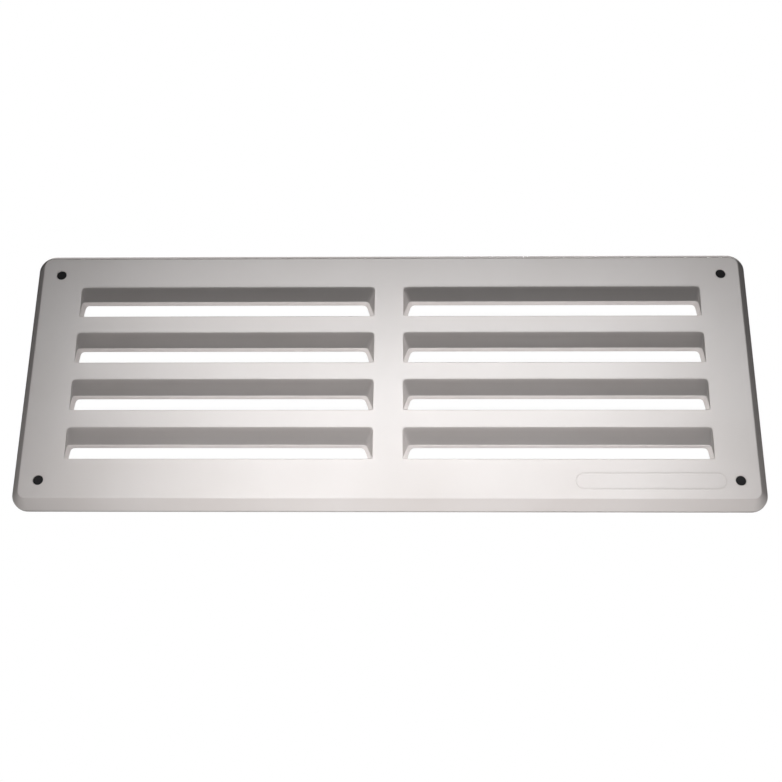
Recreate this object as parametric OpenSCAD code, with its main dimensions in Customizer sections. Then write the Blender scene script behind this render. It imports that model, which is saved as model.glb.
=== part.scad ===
// Fixed louvre ventilator, a one-piece plastic moulding for a 225 x 75 mm wall opening.
// X runs along the width, +Z is up as mounted and the face looks towards -Y.
// The origin is the middle of the back, on the wall. Millimetres.

/* [Rim] */
// Width of the rim where it meets the wall
rim_w = 260; // [246:1:300]
// Height of the rim where it meets the wall
rim_h = 98.4; // [94:0.2:125]
// Corner radius of the rim at the wall
rim_corner_r = 6; // [5:0.5:9]
// Depth of the sloping edge, front to back
bevel_depth = 4.5; // [3.5:0.1:8]
// How far the sloping edge spreads outwards
bevel_run = 3.1; // [1.5:0.1:3.5]
// Depth of the straight land behind the sloping edge
land_depth = 1.2; // [0.8:0.1:3]
// Wall thickness of the rim
rim_wall = 1.7; // [1.2:0.1:2.2]

/* [Face] */
// Thickness of the front plate
plate_t = 1.8; // [1.2:0.1:2.6]

/* [Air slots] */
// Length of a slot
slot_l = 107; // [80:1:110]
// Height of a slot, from the root of its hood to its bottom edge
slot_h = 11.5; // [11:0.1:13]
// Distance from one slot to the next below it
slot_pitch = 18.15; // [17:0.05:19]
// Distance from the top of the rim to the top edge of the highest slot
top_margin = 15; // [14:0.1:17]
// Width of the bar between the two columns of slots
bar_w = 10.3; // [8:0.1:16]

/* [Hoods] */
// How far a hood's lip stands out from the face, before its edges are rounded
hood_reach = 4.8; // [4:0.1:6.5]
// How far below the slot's top edge the outer edge of the lip lies
lip_drop = 8.1; // [7.6:0.1:8.6]
// How much shorter the lip is than the slot, at each end
lip_taper = 2.1; // [1:0.1:3]
// Radius of the lip's edges
lip_edge_r = 0.3; // [0.2:0.05:0.5]
// Wall thickness of a hood
hood_wall = 1.6; // [1.2:0.1:1.8]
// Radius of a hood's upper corners where it meets the face
hood_corner_r = 1.4; // [0.6:0.1:2]
// Radius of the upper corners inside a hood's mouth
mouth_corner_r = 1.8; // [0.8:0.1:2.4]

/* [Screw holes] */
// Distance from the rim's edges to the middle of a screw hole
screw_inset = 9.7; // [9:0.1:11]
// Diameter of a screw hole
screw_d = 3.5; // [3:0.1:4.5]
// Outer diameter of the tube behind a screw hole, at the plate
boss_d = 7.6; // [6.6:0.1:9]
// How much narrower that tube is at the wall
boss_taper = 0.4; // [0:0.1:0.8]

/* [Middle rib] */
// Thickness of the rib behind the middle bar
rib_t = 1.5; // [1:0.1:2.4]
// Gap left between the rib and the wall
rib_gap = 0.7; // [0.2:0.1:1.1]

/* [Hidden] */

slot_rows = 4;
left = -1;
right = 1;
top = 1;
bottom = -1;
plastic = [0.87, 0.86, 0.85];
// Thickness of the slice that stands for a flat outline inside a hull
slice = 0.02;
// How far a cut runs past the face it opens
over = 1;

// The face, set back from the rim by the sloping edge
depth = bevel_depth + land_depth;
face_y = -depth;
plate_back_y = face_y + plate_t;
face_w = rim_w - 2 * bevel_run;
face_h = rim_h - 2 * bevel_run;
face_corner_r = rim_corner_r - bevel_run;

// The rim's cross-section, measured outwards from the edge of the face
rim_slope = atan2(bevel_run, bevel_depth);
rim_in_land = bevel_run - rim_wall / cos(rim_slope);
rim_in_plate = rim_in_land - (bevel_depth - plate_t) * tan(rim_slope);

screw_x = rim_w / 2 - screw_inset;
screw_z = rim_h / 2 - screw_inset;

// Slope of a hood's roof from the face, and lean of its cheeks inwards
roof_angle = atan2(hood_reach, lip_drop);
cheek_angle = atan2(lip_taper, hood_reach);

// A surface inset from the outside of the roof or cheeks, at a place given by its distance out from the face
function roof_drop(out, inset) = out / tan(roof_angle) + inset / sin(roof_angle);
function cheek_half_l(out, inset) = slot_l / 2 - out * tan(cheek_angle) - inset / cos(cheek_angle);

// Middle of the round on a lip edge, one inset from the outside of the roof
function edge_drop(inset) = lip_drop + inset * sin(roof_angle) - lip_edge_r * cos(roof_angle);
function edge_out(inset) = hood_reach - inset * cos(roof_angle) - lip_edge_r * sin(roof_angle);

function slot_x(side) = side * (bar_w + slot_l) / 2;
function slot_top_z(row) = rim_h / 2 - top_margin - (row - 1) * slot_pitch;

// Places children drawn as [along, down, out] on the face, at one slot
module at_slot(side, row) {
    translate([slot_x(side), face_y, slot_top_z(row)])
        rotate([-90, 0, 0])
            mirror([0, 0, 1])
                children();
}

// Air passage through the plate, in line with the inside of the hood's roof and cheeks
module air_passage() {
    back = -plate_t - over;
    front = over;
    intersection() {
        rotate([90, 0, 90])
            linear_extrude(slot_l, center = true)
                polygon([
                    [roof_drop(back, hood_wall), back],
                    [roof_drop(front, hood_wall), front],
                    [slot_h, front],
                    [slot_h, back]
                ]);
        rotate([-90, 0, 0])
            mirror([0, 1, 0])
                linear_extrude(slot_h)
                    polygon([
                        [-cheek_half_l(back, hood_wall), back],
                        [-cheek_half_l(front, hood_wall), front],
                        [cheek_half_l(front, hood_wall), front],
                        [cheek_half_l(back, hood_wall), back]
                    ]);
    }
}

// Solid form of one hood: a slope from the slot's top edge to a flat-ended lip with rounded edges
module hood_body() {
    hull()
        for (side = [left, right]) {
            translate([side * (slot_l / 2 - hood_corner_r), hood_corner_r, 0])
                cylinder(h = slice, r = hood_corner_r, $fn = 32);
            translate([side * (slot_l / 2 - slice / 2), slot_h - slice / 2, slice / 2])
                cube(slice, center = true);
            for (inset = [lip_edge_r, hood_wall - lip_edge_r])
                translate([
                    side * cheek_half_l(edge_out(inset), lip_edge_r), edge_drop(inset), edge_out(inset)
                ])
                    sphere(r = lip_edge_r, $fn = 20);
        }
}

// Hollow of one hood, open downwards, with rounded upper corners
module hood_mouth() {
    hull()
        for (out = [-over, hood_reach])
            for (side = [left, right]) {
                half_l = cheek_half_l(out, hood_wall);
                translate([side * (half_l - mouth_corner_r), roof_drop(out, hood_wall) + mouth_corner_r, out])
                    cylinder(h = slice, r = mouth_corner_r, $fn = 32);
                translate([side * (half_l - slice / 2), slot_h + 2 * over, out + slice / 2])
                    cube(slice, center = true);
            }
}

module hood(side, row) {
    color(plastic)
        at_slot(side, row)
            difference() {
                hood_body();
                hood_mouth();
            }
}

module screw_hole(side, level) {
    translate([side * screw_x, face_y - over, level * screw_z])
        rotate([-90, 0, 0])
            cylinder(h = depth + 2 * over, d = screw_d, $fn = 64);
}

module screw_boss(side, level) {
    color(plastic)
        difference() {
            translate([side * screw_x, plate_back_y, level * screw_z])
                rotate([-90, 0, 0])
                    cylinder(h = depth - plate_t, d1 = boss_d, d2 = boss_d - boss_taper, $fn = 64);
            screw_hole(side, level);
        }
}

module rounded_plate(w, h, t, r) {
    linear_extrude(t) {
        square([w - 2 * r, h], center = true);
        square([w, h - 2 * r], center = true);
        for (x = [left, right])
            for (y = [bottom, top])
                translate([x * (w / 2 - r), y * (h / 2 - r)])
                    circle(r, $fn = 64);
    }
}

module face_panel() {
    color(plastic)
        difference() {
            translate([0, face_y, 0])
                rotate([-90, 0, 0])
                    rounded_plate(face_w, face_h, plate_t, face_corner_r);
            for (side = [left, right]) {
                for (row = [1 : slot_rows])
                    at_slot(side, row)
                        air_passage();
                for (level = [bottom, top])
                    screw_hole(side, level);
            }
        }
}

module rim_section() {
    polygon([
        [0, face_y],
        [bevel_run, -land_depth],
        [bevel_run, 0],
        [rim_in_land, 0],
        [rim_in_land, -land_depth],
        [rim_in_plate, plate_back_y],
        [0, plate_back_y]
    ]);
}

// One quarter of the rim: half of the right side, half of the bottom and their corner
module rim_quarter() {
    side_l = face_h / 2 - face_corner_r;
    bottom_l = face_w / 2 - face_corner_r;
    translate([face_w / 2, 0, -side_l])
        linear_extrude(side_l)
            rim_section();
    translate([0, 0, -face_h / 2])
        rotate([0, 90, 0])
            linear_extrude(bottom_l)
                rim_section();
    translate([bottom_l, 0, -side_l])
        rotate([-90, 0, 0])
            rotate_extrude(angle = 90, $fn = 64)
                translate([face_corner_r, 0])
                    rim_section();
}

module rim_skirt() {
    color(plastic)
        for (x = [0, 1])
            for (z = [0, 1])
                mirror([x, 0, 0])
                    mirror([0, 0, z])
                        rim_quarter();
}

module middle_rib() {
    end_plate = face_h / 2 + rim_in_plate;
    end_land = face_h / 2 + rim_in_land;
    color(plastic)
        rotate([0, -90, 0])
            linear_extrude(rib_t, center = true)
                polygon([
                    [-end_plate, plate_back_y],
                    [end_plate, plate_back_y],
                    [end_land, -land_depth],
                    [end_land, -rib_gap],
                    [-end_land, -rib_gap],
                    [-end_land, -land_depth]
                ]);
}

face_panel();
rim_skirt();
hood(left, 1);  // hood_left_1
hood(left, 2);  // hood_left_2
hood(left, 3);  // hood_left_3
hood(left, 4);  // hood_left_4
hood(right, 1);  // hood_right_1
hood(right, 2);  // hood_right_2
hood(right, 3);  // hood_right_3
hood(right, 4);  // hood_right_4
screw_boss(left, top);  // screw_boss_top_left
screw_boss(right, top);  // screw_boss_top_right
screw_boss(left, bottom);  // screw_boss_bottom_left
screw_boss(right, bottom);  // screw_boss_bottom_right
middle_rib();
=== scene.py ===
"""Looks of a fixed louvre ventilator: a one-piece satin white plastic moulding for a wall opening.

Meshes are worked out in millimetres in the part's own frame and made in metres.
"""
import math

import bmesh
import bpy
from mathutils import Matrix, Vector


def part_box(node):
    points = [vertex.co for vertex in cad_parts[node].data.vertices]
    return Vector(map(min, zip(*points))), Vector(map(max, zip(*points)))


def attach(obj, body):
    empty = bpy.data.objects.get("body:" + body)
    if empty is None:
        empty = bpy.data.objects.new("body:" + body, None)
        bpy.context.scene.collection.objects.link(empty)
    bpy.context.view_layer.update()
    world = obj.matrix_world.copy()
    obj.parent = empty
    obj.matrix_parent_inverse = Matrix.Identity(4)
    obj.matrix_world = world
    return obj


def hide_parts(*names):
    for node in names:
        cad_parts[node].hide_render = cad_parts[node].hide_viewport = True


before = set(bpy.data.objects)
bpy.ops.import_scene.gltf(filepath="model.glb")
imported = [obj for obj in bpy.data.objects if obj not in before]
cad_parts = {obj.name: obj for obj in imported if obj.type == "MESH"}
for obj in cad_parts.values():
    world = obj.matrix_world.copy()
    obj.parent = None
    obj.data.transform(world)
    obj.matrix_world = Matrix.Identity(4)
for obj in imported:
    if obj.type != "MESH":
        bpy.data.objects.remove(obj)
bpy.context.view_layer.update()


# Face panel ---------------------------------------------------------------------------------
# The flat front of the moulding, pierced by eight air slots and four screw holes.
# White high-impact polystyrene, injection moulded in one shot with everything else here.
# The eight shallow discs on its back are where the ejector pins push it out of the mould.

MM = 0.001


def box_mm(node):
    """Low and high corners of a CAD node's box, in millimetres."""
    low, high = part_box(node)
    return low / MM, high / MM


panel_low, panel_high = box_mm("face_panel")
face_y, panel_back_y = panel_low.y, panel_high.y
panel_t = panel_back_y - face_y
face_w = panel_high.x - panel_low.x
face_h = panel_high.z - panel_low.z
face_corner_r = 2.9

# How far inside its edge the flat front stops and the rim's soft edge starts, and the same at the back
front_margin = 0.3
back_margin = 1.6

# A slot is as long and as high as its hood. Its lower edge is softened, less and less towards its ends
slot_low, slot_high = box_mm("hood_left_1")
slot_half_l = (slot_high.x - slot_low.x) / 2
slot_h = slot_high.z - slot_low.z
slot_edge_r = 0.3
slot_end_fade = 1.6

# Where a slot comes out at the panel's back, in line with the inside of its hood
slot_back_half_l = 52.55
slot_back_drop = 0.1

hole_r = 1.75
hole_edge_r = 0.25
pin_mark_r = 2.4
pin_mark_depth = 0.2
pin_mark_x = (-90, -30, 30, 90)
pin_mark_z = (-40, 40)

# Steps along one leg, one bend and half the top of an arch, and along half the lower edge of a slot
leg_steps, bend_steps, run_steps = 14, 10, 12
lower_edge_steps = 14

# Points closer than this are one point, and edges that turn by more than this stay crisp
weld_distance = 0.0005
crease_angle = math.radians(32)


def bend_between(start, corner, end, steps):
    """Curve from start to end that sets out towards the corner and arrives from it."""
    return [
        start.lerp(corner, i / steps).lerp(corner.lerp(end, i / steps), i / steps)
        for i in range(steps + 1)
    ]


def arch(foot, corner, turn):
    """Outline of a slot or hood: up one side, along the top and down the other.

    Points are (along, down, out), and a bend starts at the distance turn from its corner.
    """
    foot, corner = Vector(foot), Vector(corner)
    middle = Vector((0, corner.y, corner.z))
    start = corner + (foot - corner).normalized() * turn
    end = corner + (middle - corner).normalized() * turn
    leg = [foot.lerp(start, i / leg_steps) for i in range(leg_steps)]
    run = [end.lerp(middle, i / run_steps) for i in range(1, run_steps + 1)]
    half = leg + bend_between(start, corner, end, bend_steps) + run
    return half + [Vector((-p.x, p.y, p.z)) for p in reversed(half[:-1])]


def rounded_rectangle(w, h, r, y, grown=0, steps=12):
    """Closed outline in the plane at y, with quarter-round corners, moved outwards by grown."""
    w, h, r = w + 2 * grown, h + 2 * grown, r + grown
    ring = []
    for corner, (x, z) in enumerate([(1, 1), (-1, 1), (-1, -1), (1, -1)]):
        for i in range(steps + 1):
            turn = math.radians(90 * (corner + i / steps))
            across = x * (w / 2 - r) + r * math.cos(turn)
            up = z * (h / 2 - r) + r * math.sin(turn)
            ring.append(Vector((across, y, up)))
    return ring


def circle(x, z, r, y, steps=48):
    """Closed circle in the plane at y."""
    turns = [math.tau * i / steps for i in range(steps)]
    return [Vector((x + r * math.cos(a), y, z + r * math.sin(a))) for a in turns]


def edge_round(r, steps=5):
    """A rounded edge from a face into an opening, as (how far it still opens out, depth)."""
    turns = [math.radians(90 * i / steps) for i in range(steps + 1)]
    return [(r * (1 - math.sin(a)), r * (1 - math.cos(a))) for a in turns]


def add_skin(bm, rings, closed_stack=False):
    """Quads between closed rings with the same number of points. Returns the vertices, ring by ring."""
    skin = [[bm.verts.new(p) for p in ring] for ring in rings]
    neighbours = list(zip(skin, skin[1:]))
    if closed_stack:
        neighbours.append((skin[-1], skin[0]))
    for near, far in neighbours:
        for i in range(len(near)):
            j = (i + 1) % len(near)
            bm.faces.new((near[i], near[j], far[j], far[i]))
    return skin


def fill_flat(bm, loops):
    """Fills the flat area between closed loops of vertices, and keeps it flat in shading."""
    edges = []
    for loop in loops:
        for a, b in zip(loop, loop[1:] + loop[:1]):
            edges.append(bm.edges.get((a, b)) or bm.edges.new((a, b)))
    bmesh.ops.triangle_fill(bm, use_beauty=True, edges=edges)
    for edge in edges:
        edge.smooth = False


def make_piece(name, bm, nodes, place=(0, 0, 0)):
    """Turns millimetre geometry into a finished piece that stands for CAD nodes."""
    bmesh.ops.remove_doubles(bm, verts=bm.verts, dist=weld_distance)
    bmesh.ops.dissolve_degenerate(bm, edges=bm.edges, dist=weld_distance)
    bmesh.ops.recalc_face_normals(bm, faces=bm.faces)
    # A tube's faces can all come out looking inwards
    if bm.calc_volume(signed=True) < 0:
        bmesh.ops.reverse_faces(bm, faces=bm.faces)
    for edge in bm.edges:
        if edge.calc_face_angle(0) > crease_angle:
            edge.smooth = False
    for face in bm.faces:
        face.smooth = True
    bmesh.ops.scale(bm, vec=(MM, MM, MM), verts=bm.verts)
    mesh = bpy.data.meshes.new(name)
    bm.to_mesh(mesh)
    bm.free()
    return place_piece(name, mesh, nodes, place)


def place_piece(name, mesh, nodes, place):
    """Sets a mesh on the part, at a place in millimetres."""
    piece = bpy.data.objects.new(name, mesh)
    piece.location = Vector(place) * MM
    bpy.context.scene.collection.objects.link(piece)
    bpy.context.view_layer.update()
    if not mesh.materials:
        mesh.materials.append(moulded_polystyrene)
    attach(piece, "root")
    if nodes:
        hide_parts(*nodes)
    return piece


def linear(hex_code):
    """An sRGB hex colour as linear RGBA."""
    channels = [int(hex_code[i : i + 2], 16) / 255 for i in (1, 3, 5)]
    return tuple(c / 12.92 if c <= 0.04045 else ((c + 0.055) / 1.055) ** 2.4 for c in channels) + (1,)


def add_node(owner, kind, settings=(), links=()):
    """Adds a node to a material or the world.

    Settings are its properties and input values, links are (output, name or number of the input).
    """
    node = owner.node_tree.nodes.new(kind)
    for key, value in dict(settings).items():
        if key in node.inputs:
            node.inputs[key].default_value = value
        else:
            setattr(node, key, value)
    for output, key in links:
        owner.node_tree.links.new(output, node.inputs[key])
    return node


# Moulded polystyrene, satin: the mould's fine spark-eroded grain breaks up reflections, so the face
# looks evenly white with only a soft sheen. The resin itself is a warm white with faint flow clouding.
moulded_polystyrene = bpy.data.materials.new("moulded_polystyrene_satin_white")
moulded_polystyrene.use_nodes = True
moulded_polystyrene.node_tree.nodes.clear()

# Real grain is about 0.1 mm across and too fine to show, so it is drawn as coarse as it needs to show
flow_cloud_mm = 45
mould_grain_mm = 0.35
grain_height_mm = 0.006

place_on_part = add_node(moulded_polystyrene, "ShaderNodeTexCoord").outputs["Object"]
flow_clouds = add_node(
    moulded_polystyrene, "ShaderNodeTexNoise",
    {"Scale": 1 / (flow_cloud_mm * MM), "Detail": 3, "Roughness": 0.45},
    [(place_on_part, "Vector")],
).outputs["Fac"]
mould_grain = add_node(
    moulded_polystyrene, "ShaderNodeTexNoise",
    {"Scale": 1 / (mould_grain_mm * MM), "Detail": 2, "Roughness": 0.5},
    [(place_on_part, "Vector")],
).outputs["Fac"]
resin_colour = add_node(moulded_polystyrene, "ShaderNodeValToRGB", links=[(flow_clouds, "Fac")])
resin_colour.color_ramp.elements[0].position = 0.3
resin_colour.color_ramp.elements[0].color = linear("#E1DAD7")
resin_colour.color_ramp.elements[1].position = 0.7
resin_colour.color_ramp.elements[1].color = linear("#E9E3E1")
satin = add_node(
    moulded_polystyrene, "ShaderNodeMapRange",
    {"To Min": 0.22, "To Max": 0.28},
    [(mould_grain, "Value")],
).outputs["Result"]
grain_relief = add_node(
    moulded_polystyrene, "ShaderNodeBump",
    {"Distance": grain_height_mm * MM, "Strength": 1},
    [(mould_grain, "Height")],
).outputs["Normal"]
# The specular level is above the usual 0.5 because the real face has a strong sheen
polystyrene = add_node(
    moulded_polystyrene, "ShaderNodeBsdfPrincipled",
    {"IOR": 1.59, "Specular IOR Level": 0.75, "Metallic": 0},
    [(resin_colour.outputs["Color"], "Base Color"), (satin, "Roughness"), (grain_relief, "Normal")],
)
add_node(moulded_polystyrene, "ShaderNodeOutputMaterial", links=[(polystyrene.outputs["BSDF"], "Surface")])

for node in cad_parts.values():
    node.data.materials.clear()
    node.data.materials.append(moulded_polystyrene)


def on_slot(point, slot=Vector((0, 0, 0))):
    """A place given as (along, down, out) from the middle of a slot's top edge, in the part's frame."""
    return Vector((slot.x + point.x, slot.y - point.z, slot.z - point.y))


# The front outline of a slot is where the small fillet at its hood's root runs out on the face
root_fillet = 0.25
fillet_runout = 0.05
slot_front_outline = arch(
    foot=(-slot_half_l, slot_h, 0),
    corner=(-slot_half_l - root_fillet - fillet_runout, -root_fillet - fillet_runout, 0),
    turn=1.7,
)
slot_back_outline = arch(
    foot=(-slot_back_half_l, slot_h, -panel_t),
    corner=(-slot_back_half_l, slot_back_drop, -panel_t),
    turn=0.9,
)
slot_places = {}
for column in ("left", "right"):
    for row in range(1, 5):
        low, high = box_mm(f"hood_{column}_{row}")
        slot_places[f"{column}_{row}"] = Vector(((low.x + high.x) / 2, face_y, high.z))

screw_low, screw_high = box_mm("screw_boss_top_right")
screw_x = (screw_low.x + screw_high.x) / 2
screw_z = (screw_low.z + screw_high.z) / 2
screw_places = {
    f"{level}_{column}": (x, z)
    for column, x in (("left", -screw_x), ("right", screw_x))
    for level, z in (("bottom", -screw_z), ("top", screw_z))
}


def slot_walls():
    """Rings through the panel round one slot, plain under its hood and softened along its lower edge."""
    front = edge_round(slot_edge_r)
    steps = front + [(opening, panel_t - depth) for opening, depth in reversed(front)]
    shares = [
        math.sin(math.radians(90 * i / lower_edge_steps))
        for i in range(1 - lower_edge_steps, lower_edge_steps)
    ]
    rings = []
    for opening, depth in steps:
        through = depth / panel_t
        ring = [a.lerp(b, through) for a, b in zip(slot_front_outline, slot_back_outline)]
        half_l = -ring[0].x
        for share in shares:
            from_end = half_l * (1 - abs(share))
            fade = min(1, from_end / slot_end_fade)
            ring.append(Vector((-half_l * share, slot_h + opening * fade, -depth)))
        rings.append(ring)
    return rings


panel = bmesh.new()
panel_edge = add_skin(panel, [
    rounded_rectangle(face_w, face_h, face_corner_r, face_y, -front_margin),
    rounded_rectangle(face_w, face_h, face_corner_r, panel_back_y, -back_margin),
])
front_loops, back_loops = [panel_edge[0]], [panel_edge[1]]
for slot in slot_places.values():
    walls = add_skin(panel, [[on_slot(p, slot) for p in ring] for ring in slot_walls()])
    front_loops.append(walls[0])
    back_loops.append(walls[-1])
for x, z in screw_places.values():
    mouth = [circle(x, z, hole_r + opening, face_y + depth) for opening, depth in edge_round(hole_edge_r)]
    walls = add_skin(panel, mouth + [circle(x, z, hole_r, panel_back_y)])
    front_loops.append(walls[0])
    back_loops.append(walls[-1])
for x in pin_mark_x:
    for z in pin_mark_z:
        walls = add_skin(panel, [
            circle(x, z, pin_mark_r, panel_back_y),
            circle(x, z, pin_mark_r, panel_back_y - pin_mark_depth),
        ])
        back_loops.append(walls[0])
        fill_flat(panel, [walls[1]])
fill_flat(panel, front_loops)
fill_flat(panel, back_loops)
make_piece("front_panel", panel, ["face_panel"])


# Louvre hoods -------------------------------------------------------------------------------
# Eight sloping hoods in two columns keep rain out of the slots and leave a downward mouth for the air.
# Each is moulded with the face. Its roof flattens out where it leaves the face, and its lip ends in a
# nearly level band, because the two halves of the mould meet there and part straight out from the wall.

hood_reach = 4.76
hood_wall = 1.6
lip_drop = 8.25
lip_taper = 2.1
lip_band_w = 2.6
lip_band_slope = math.radians(5)
lip_cheek_wall = 1.8
cheek_lean = math.atan2(lip_taper, hood_reach)

# The lip's outer and inner edges are eased, less and less towards the hood's feet
lip_edge_r = 0.3
mouth_edge_r = 0.2
edge_fade = 1.2

# The flatter start of the roof: its length, the most of a short roof that it takes up, and its rise
root_flat_l = 3.2
root_flat_share = 0.45
root_flat_rise = 0.2

# How far the fillet at the root reaches onto the roof
fillet_on_roof = 0.3

# The inner edge of the lip, across its band from the outer edge
inner_lip_drop = lip_drop + lip_band_w * math.sin(lip_band_slope)
inner_lip_out = hood_reach - lip_band_w * math.cos(lip_band_slope)

# Steps round the root fillet, along the flatter start, round the lip's two edges and back inside
fillet_steps, flat_steps, lip_steps, mouth_steps, inside_steps = 5, 6, 5, 3, 6


def cheek_half_l(out, inset):
    """Half the distance between the cheeks, at a distance out from the face."""
    return slot_half_l - out * math.tan(cheek_lean) - inset / math.cos(cheek_lean)


root_line = arch(foot=(-slot_half_l, slot_h, 0), corner=(-slot_half_l, 0, 0), turn=1.4)
fillet_line = arch(
    foot=(-slot_half_l, slot_h, 0),
    corner=(-slot_half_l - root_fillet, -root_fillet, 0),
    turn=1.65,
)
outer_edge = arch(
    foot=(-slot_half_l, slot_h, 0),
    corner=(-cheek_half_l(hood_reach, 0), lip_drop, hood_reach),
    turn=1.1,
)
inner_edge = arch(
    foot=(-cheek_half_l(0, hood_wall), slot_h, 0),
    corner=(-cheek_half_l(inner_lip_out, lip_cheek_wall), inner_lip_drop, inner_lip_out),
    turn=1.5,
)


def hood_section(i):
    """One slice through the hood: over the root fillet and the roof, round the lip and back inside."""
    outer, inner, root, back = outer_edge[i], inner_edge[i], root_line[i], slot_back_outline[i]
    from_foot = min((outer - outer_edge[0]).length, (outer - outer_edge[-1]).length)
    fade = min(1, from_foot / edge_fade)

    roof_l = (outer - root).length
    flat = min(root_flat_share, root_flat_l / roof_l) if roof_l > root_flat_l else root_flat_share
    flat_end = root.lerp(outer, flat)
    flat_middle = root.lerp(outer, flat / 2) - Vector((0, 0, root_flat_rise * fade))
    fillet_end = root.lerp(flat_middle, fillet_on_roof / (root_flat_l / 2))
    slice_line = [slot_front_outline[i]] + bend_between(fillet_line[i], root, fillet_end, fillet_steps)
    slice_line += bend_between(fillet_end, flat_middle, flat_end, flat_steps)[1:]

    across = (inner - outer).normalized()
    down_roof = (outer - root).normalized()
    up_inside = (back - inner).normalized()
    eased, mouth_eased = lip_edge_r * fade, mouth_edge_r * fade
    slice_line += bend_between(outer - down_roof * eased, outer, outer + across * eased, lip_steps)
    slice_line += bend_between(
        inner - across * mouth_eased, inner, inner + up_inside * mouth_eased, mouth_steps
    )
    inside = slice_line[-1]
    slice_line += [inside.lerp(back, k / inside_steps) for k in range(1, inside_steps + 1)]
    return [on_slot(p) for p in slice_line]


hood = bmesh.new()
hood_skin = add_skin(hood, [hood_section(i) for i in range(len(root_line))])
for foot in (hood_skin[0], hood_skin[-1]):
    hood.faces.new(foot)
hood_mesh = make_piece("louvre_left_1", hood, ["hood_left_1"], slot_places["left_1"]).data
for position, slot in slot_places.items():
    if position != "left_1":
        place_piece(f"louvre_{position}", hood_mesh, [f"hood_{position}"], slot)


# Rim ----------------------------------------------------------------------------------------
# The sloping edge round the face, moulded with it. It stands the face off the wall, hides the cut edge
# of the opening and ends in a short straight land that bears on the wall.

_, rim_high = box_mm("rim_skirt")
bevel_run = rim_high.x - face_w / 2
land_depth = 1.2

# How far outside the face's edge the rim's inner wall lies, at the land and at the panel
rim_in_land = 1.035
rim_in_panel = -0.825


def soft_line(corners, steps=5):
    """Path through corners given as (x, y, round). A bend starts at the distance round from its corner."""
    points = [Vector((x, y)) for x, y, _ in corners]
    line = [points[0]]
    for before, point, after, (_, _, r) in zip(points, points[1:], points[2:], corners[1:]):
        start = point + (before - point).normalized() * r
        end = point + (after - point).normalized() * r
        line += bend_between(start, point, end, steps)
    return line + [points[-1]]


# Cross-section, measured outwards from the face's edge
rim_section = soft_line([
    (-front_margin, face_y, 0),
    (0, face_y, 0.25),
    (bevel_run, -land_depth, 0.15),
    (bevel_run, 0, 0.12),
    (rim_in_land, 0, 0.12),
    (rim_in_land, -land_depth, 0.4),
    (rim_in_panel, panel_back_y, 0.7),
    (-back_margin, panel_back_y, 0),
])
rim = bmesh.new()
rim_rings = [rounded_rectangle(face_w, face_h, face_corner_r, y, out) for out, y in rim_section]
add_skin(rim, rim_rings, closed_stack=True)
make_piece("rim_edge", rim, ["rim_skirt"])


# Screw tubes --------------------------------------------------------------------------------
# Four short tubes behind the screw holes, moulded with the panel. They reach the wall, so a screw can be
# pulled tight without bending the face.

tube_r = 3.8
tube_end_r = 3.6
tube_root_w = 0.5
tube_section = soft_line([
    (hole_r, panel_back_y, 0),
    (hole_r, 0, 0.12),
    (tube_end_r, 0, 0.2),
    (tube_r, panel_back_y, 0.4),
    (tube_r + tube_root_w, panel_back_y, 0),
])
for position, (x, z) in screw_places.items():
    tube = bmesh.new()
    add_skin(tube, [circle(x, z, r, y) for r, y in tube_section], closed_stack=True)
    make_piece(f"screw_tube_{position}", tube, [f"screw_boss_{position}"])


# Middle rib ---------------------------------------------------------------------------------
# A thin rib up the back of the bar between the two columns of slots, moulded with it to keep the long face
# from bowing. It stops just short of the wall.

rib_low, rib_high = box_mm("middle_rib")
rib_half_t = (rib_high.x - rib_low.x) / 2
rib_root_r = 0.4
rib_edge_r = 0.3
rib_end_panel = face_h / 2 + rim_in_panel
rib_end_land = face_h / 2 + rim_in_land
rib_section = soft_line([
    (-rib_half_t - rib_root_r, panel_back_y, 0),
    (-rib_half_t, panel_back_y, rib_root_r),
    (-rib_half_t, rib_high.y, rib_edge_r),
    (rib_half_t, rib_high.y, rib_edge_r),
    (rib_half_t, panel_back_y, rib_root_r),
    (rib_half_t + rib_root_r, panel_back_y, 0),
])


def rib_end(y):
    """How far up the rib reaches at y, along the rim's inner wall."""
    along_wall = (y - panel_back_y) / (-land_depth - panel_back_y)
    return rib_end_panel + (rib_end_land - rib_end_panel) * min(1, along_wall)


rib = bmesh.new()
rib_skin = add_skin(rib, [[Vector((x, y, side * rib_end(y))) for x, y in rib_section] for side in (-1, 1)])
for end in rib_skin:
    rib.faces.new(end)
make_piece("stiffening_rib", rib, ["middle_rib"])


# Raised border ------------------------------------------------------------------------------
# A fine raised line in the shape of a long capsule at the lower right of the face, cut into the mould so
# that it stands a little proud. The space inside it is left plain.

border_x, border_z = 89.9, -39.65
border_l, border_h = 51, 5.7
border_line_w = 0.35
border_line_h = 0.1
border_line_steps = 6
border = bmesh.new()
border_rings = []
for i in range(border_line_steps + 1):
    a = math.radians(180 * i / border_line_steps)
    out, up = border_line_w / 2 * math.cos(a), border_line_h * math.sin(a)
    ring = rounded_rectangle(border_l, border_h, border_h / 2, face_y - up, out, steps=16)
    border_rings.append([p + Vector((border_x, 0, border_z)) for p in ring])
add_skin(border, border_rings, closed_stack=True)
make_piece("raised_border", border, [])


# Setting ------------------------------------------------------------------------------------
# The photographed view looks up at the vent from below and in front. A low key light and two fill lights
# shape it, the soft reflection of a long far strip light gives the face its sheen, and a weak light from
# behind and above shows the back. The floor and the world look pale to the camera alone.


def matt_paint(name, hex_code):
    """A rough painted surface for the stage. Returns the material and its shader node."""
    paint = bpy.data.materials.new(name)
    paint.use_nodes = True
    surface = paint.node_tree.nodes["Principled BSDF"]
    surface.inputs["Base Color"].default_value = linear(hex_code)
    surface.inputs["Roughness"].default_value = 0.9
    return paint, surface


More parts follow.
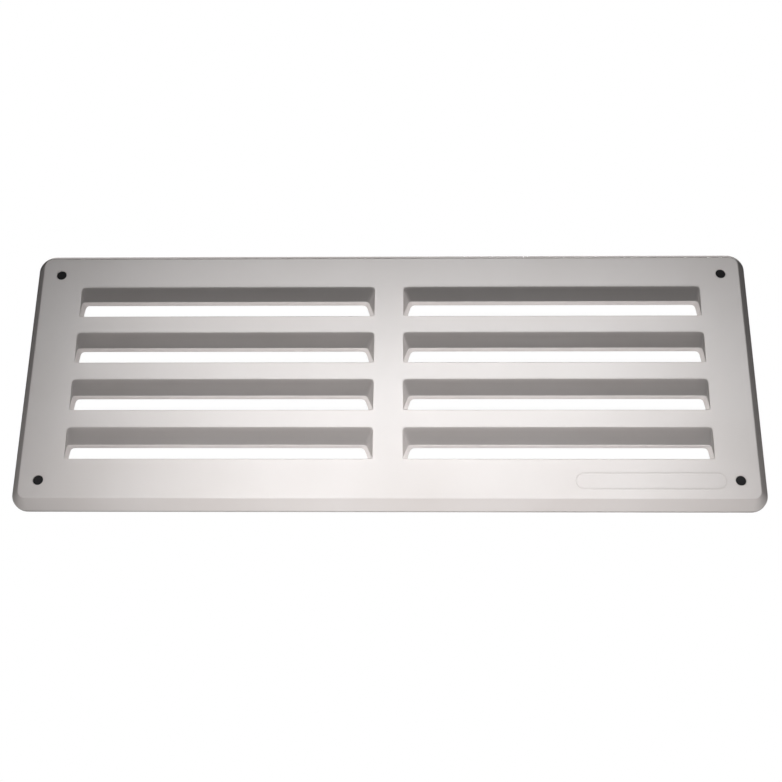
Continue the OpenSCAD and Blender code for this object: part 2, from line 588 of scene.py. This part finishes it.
# The floor, the lamps and the camera are placed in metres
floor_z = -0.8
bpy.ops.mesh.primitive_plane_add(size=40, location=(0, 0, floor_z))
floor = bpy.context.object
floor.name = "floor"
floor_paint, floor_surface = matt_paint("matt_pale_floor", "#908F8D")
floor_surface.inputs["Emission Color"].default_value = linear("#DDDCD9")
floor_seen = add_node(floor_paint, "ShaderNodeLightPath").outputs["Is Camera Ray"]
floor_paint.node_tree.links.new(floor_seen, floor_surface.inputs["Emission Strength"])
floor.data.materials.append(floor_paint)

# A dark disc stands in each screw hole as painted shade, because the holes are dark in the photograph: what
# lies behind them there is unlit, while the white world shows through the slots
hole_shade_depth = 0.45
hole_shade_clearance = 0.01
hole_shade_paint, _ = matt_paint("matt_black_painted_hole_shade", "#2A292B")
# Each black disc is painted shade for the unlit space behind an open screw hole
for x, z in screw_places.values():
    bpy.ops.mesh.primitive_circle_add(
        vertices=48, radius=(hole_r - hole_shade_clearance) * MM, fill_type="NGON",
        rotation=(math.radians(90), 0, 0), location=Vector((x, face_y + hole_shade_depth, z)) * MM,
    )
    hole_shade_disc = bpy.context.object
    hole_shade_disc.name = "painted_hole_shade_disc"
    hole_shade_disc.data.materials.append(hole_shade_paint)


def add_lamp(name, kind, place, aim, power, body=True, sheen=True, **settings):
    """A lamp may light the plastic's matt body alone, or show in its sheen alone."""
    light = bpy.data.lights.new(name, kind)
    light.energy = power
    for key, value in settings.items():
        setattr(light, key, value)
    lamp = bpy.data.objects.new(name, light)
    lamp.location = place
    lamp.rotation_euler = (Vector(aim) - Vector(place)).to_track_quat("-Z", "Y").to_euler()
    lamp.visible_camera = False
    lamp.visible_diffuse = body
    lamp.visible_glossy = sheen
    bpy.context.scene.collection.objects.link(lamp)


# The key and back lights don't show in the sheen, where they would leave hard white patches in views from
# above. Part of the strip light shows in it alone, because all of it would light the hoods' roofs too much.
add_lamp(
    "low_key_light", "SPOT", (-0.05, -0.367, -0.594), (0.0135, face_y * MM, -0.085), power=13.6,
    sheen=False, spot_size=math.radians(34.7), spot_blend=1, shadow_soft_size=0.06,
)
for side, x, aim_x, power in (("left", -0.11, -0.044, 3.9), ("right", 0.15, 0.06, 3.5)):
    add_lamp(
        f"{side}_fill_light", "SPOT", (x, -0.55, 0), (aim_x, face_y * MM, -0.168), power,
        spot_size=math.radians(42), spot_blend=1, shadow_soft_size=0.06,
    )

# The strip light is where the camera sees it mirrored in the face
strip_place, strip_aim = (0, -5, 2.08), (0, 0, 0)
strip_form = {"shape": "RECTANGLE", "size": 3, "size_y": 0.3, "spread": math.radians(90)}
add_lamp("strip_light", "AREA", strip_place, strip_aim, power=10, **strip_form)
add_lamp("strip_sheen_light", "AREA", strip_place, strip_aim, power=6.4, body=False, **strip_form)
add_lamp(
    "back_light", "AREA", (0.15, 0.45, 0.8), (0, 0, 0), power=2, sheen=False,
    shape="DISK", size=0.4, spread=math.radians(60),
)

# White to the camera, and so dim to the part that the lamps alone shape it
world = bpy.data.worlds.new("white_to_the_camera")
bpy.context.scene.world = world
world.use_nodes = True
world.node_tree.nodes.clear()
world_light = add_node(world, "ShaderNodeBackground", {"Color": (1, 1, 1, 1), "Strength": 0.01})
world_seen = add_node(world, "ShaderNodeBackground", {"Color": (1, 1, 1, 1), "Strength": 1})
seen_by_camera = add_node(world, "ShaderNodeLightPath").outputs["Is Camera Ray"]
world_mix = add_node(
    world, "ShaderNodeMixShader",
    links=[(seen_by_camera, 0), (world_light.outputs[0], 1), (world_seen.outputs[0], 2)],
)
add_node(world, "ShaderNodeOutputWorld", links=[(world_mix.outputs[0], "Surface")])

# The photographed viewpoint, from a fit to the edges of the face, the slots and the hoods
camera_place = Vector((0.01118, -0.42824, -0.18039))
camera_looks = Vector((-0.02230, 0.92457, 0.38035))
camera_up = Vector((0.00069, -0.38043, 0.92481))
camera_right = camera_looks.cross(camera_up).normalized()
camera_data = bpy.data.cameras.new("camera")
camera_data.lens = 59.85
camera_data.sensor_width = 36
camera_data.clip_start = 0.01
camera = bpy.data.objects.new("camera", camera_data)
camera.matrix_world = Matrix.Translation(camera_place) @ Matrix(
    (camera_right, camera_right.cross(camera_looks).normalized(), -camera_looks.normalized())
).transposed().to_4x4()
bpy.context.scene.collection.objects.link(camera)
bpy.context.scene.camera = camera
bpy.context.scene.view_settings.view_transform = "Standard"
